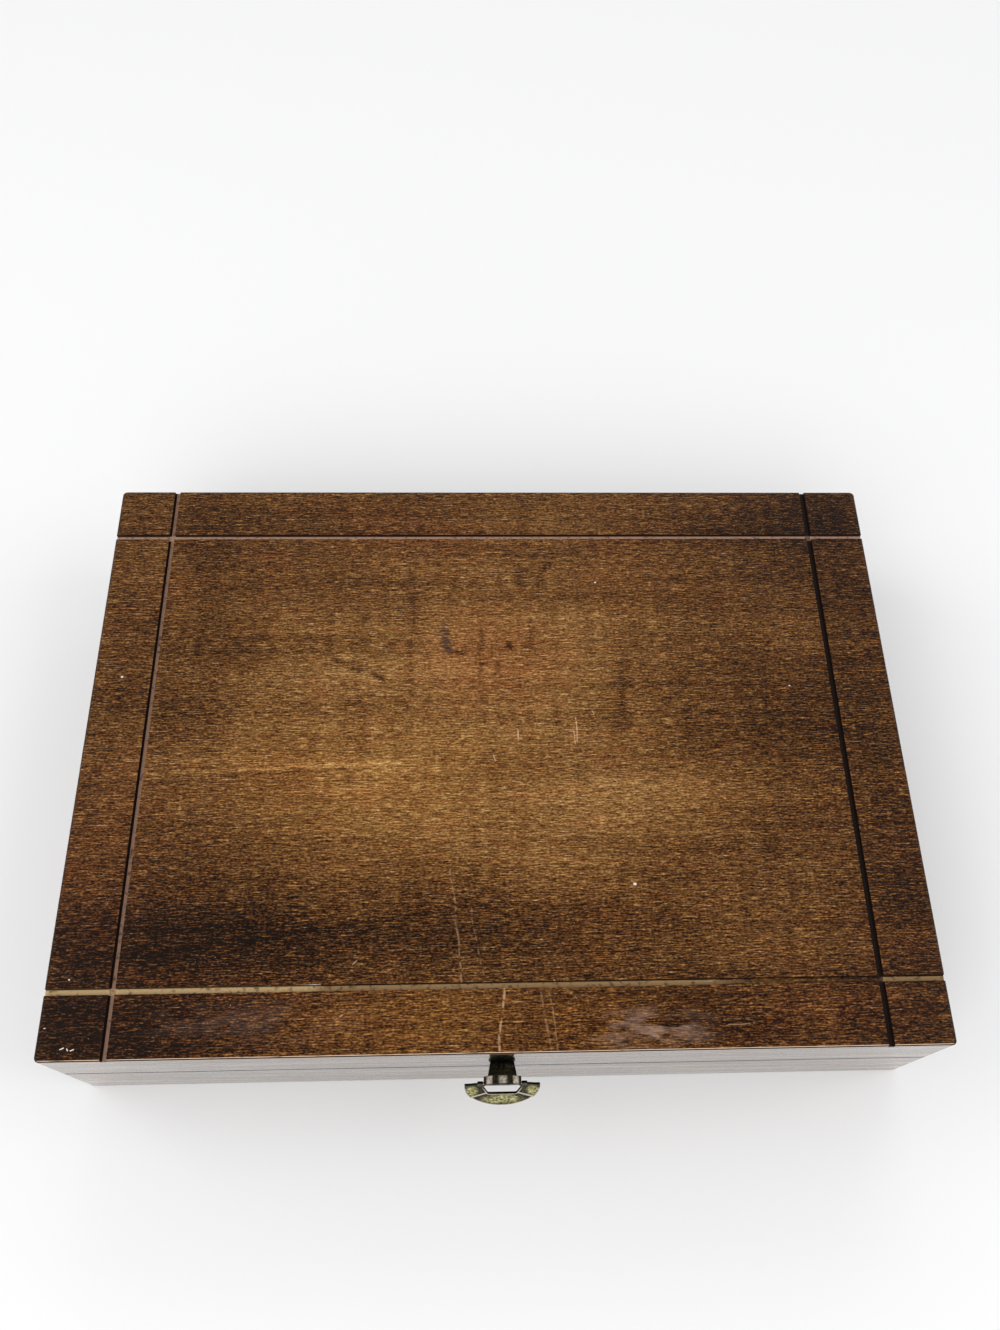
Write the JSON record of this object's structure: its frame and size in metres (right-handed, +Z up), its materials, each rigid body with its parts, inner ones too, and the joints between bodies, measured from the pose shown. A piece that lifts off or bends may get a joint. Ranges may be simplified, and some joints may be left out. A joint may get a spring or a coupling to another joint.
{
  "type": "silverware chest",
  "caption": "Low rectangular wooden flatware chest with a hinged lid, a kerf border on top, a brass drop pull and a cloth-lined inside with racks.",
  "frame": {"origin": "centre of the case's flat bottom face, on the surface it stands on", "axes": "+X to the right along the width, +Y to the back (the front and its pull face -Y), +Z up"},
  "size_m": [0.394, 0.3155, 0.08],
  "materials": {
    "veneer": "satin varnish",
    "bottom_board": "matte",
    "lining_cloth": "matte",
    "antique_brass": "antique",
    "hinge_brass": "satin",
    "steel": "satin"
  },
  "bodies": {
    "base": {"base_front_rail": "veneer", "base_back_rail": "veneer", "base_left_rail": "veneer", "base_right_rail": "veneer", "base_bottom_panel": "bottom_board", "base_floor_pad": "lining_cloth", "base_lining_front": "lining_cloth", "base_lining_back": "lining_cloth", "base_lining_left": "lining_cloth", "base_lining_right": "lining_cloth", "flatware_rack_front": "lining_cloth", "flatware_rack_rear": "lining_cloth", "serving_divider": "lining_cloth", "hinge_base_leaf_left": "hinge_brass", "hinge_base_leaf_right": "hinge_brass", "hinge_pin_left": "hinge_brass", "hinge_pin_right": "hinge_brass", "hinge_base_screws": "hinge_brass"},
    "lid": {"lid_top_panel": "veneer", "lid_front_rail": "veneer", "lid_back_rail": "veneer", "lid_left_rail": "veneer", "lid_right_rail": "veneer", "lid_ceiling_pad": "lining_cloth", "lid_lining_front": "lining_cloth", "lid_lining_back": "lining_cloth", "lid_lining_left": "lining_cloth", "lid_lining_right": "lining_cloth", "knife_handle_bar": "lining_cloth", "knife_blade_sleeve": "lining_cloth", "hinge_lid_leaf_left": "hinge_brass", "hinge_lid_leaf_right": "hinge_brass", "hinge_lid_screws": "hinge_brass", "pull_backplate": "antique_brass", "pull_post": "antique_brass", "pull_pin": "antique_brass", "pull_screw": "steel"},
    "bail": {"pull_bail": "antique_brass"}
  },
  "joints": [
    {"name": "lid_hinge", "type": "hinge", "parent": "base", "child": "lid", "pos_m": [0, 0.148, 0.04385], "axis": [-1, 0, 0], "range_deg": [0, 100]},
    {"name": "bail_pivot", "type": "hinge", "parent": "lid", "child": "bail", "pos_m": [0, -0.1548, 0.062], "axis": [-1, 0, 0], "range_deg": [0, 110]}
  ]
}
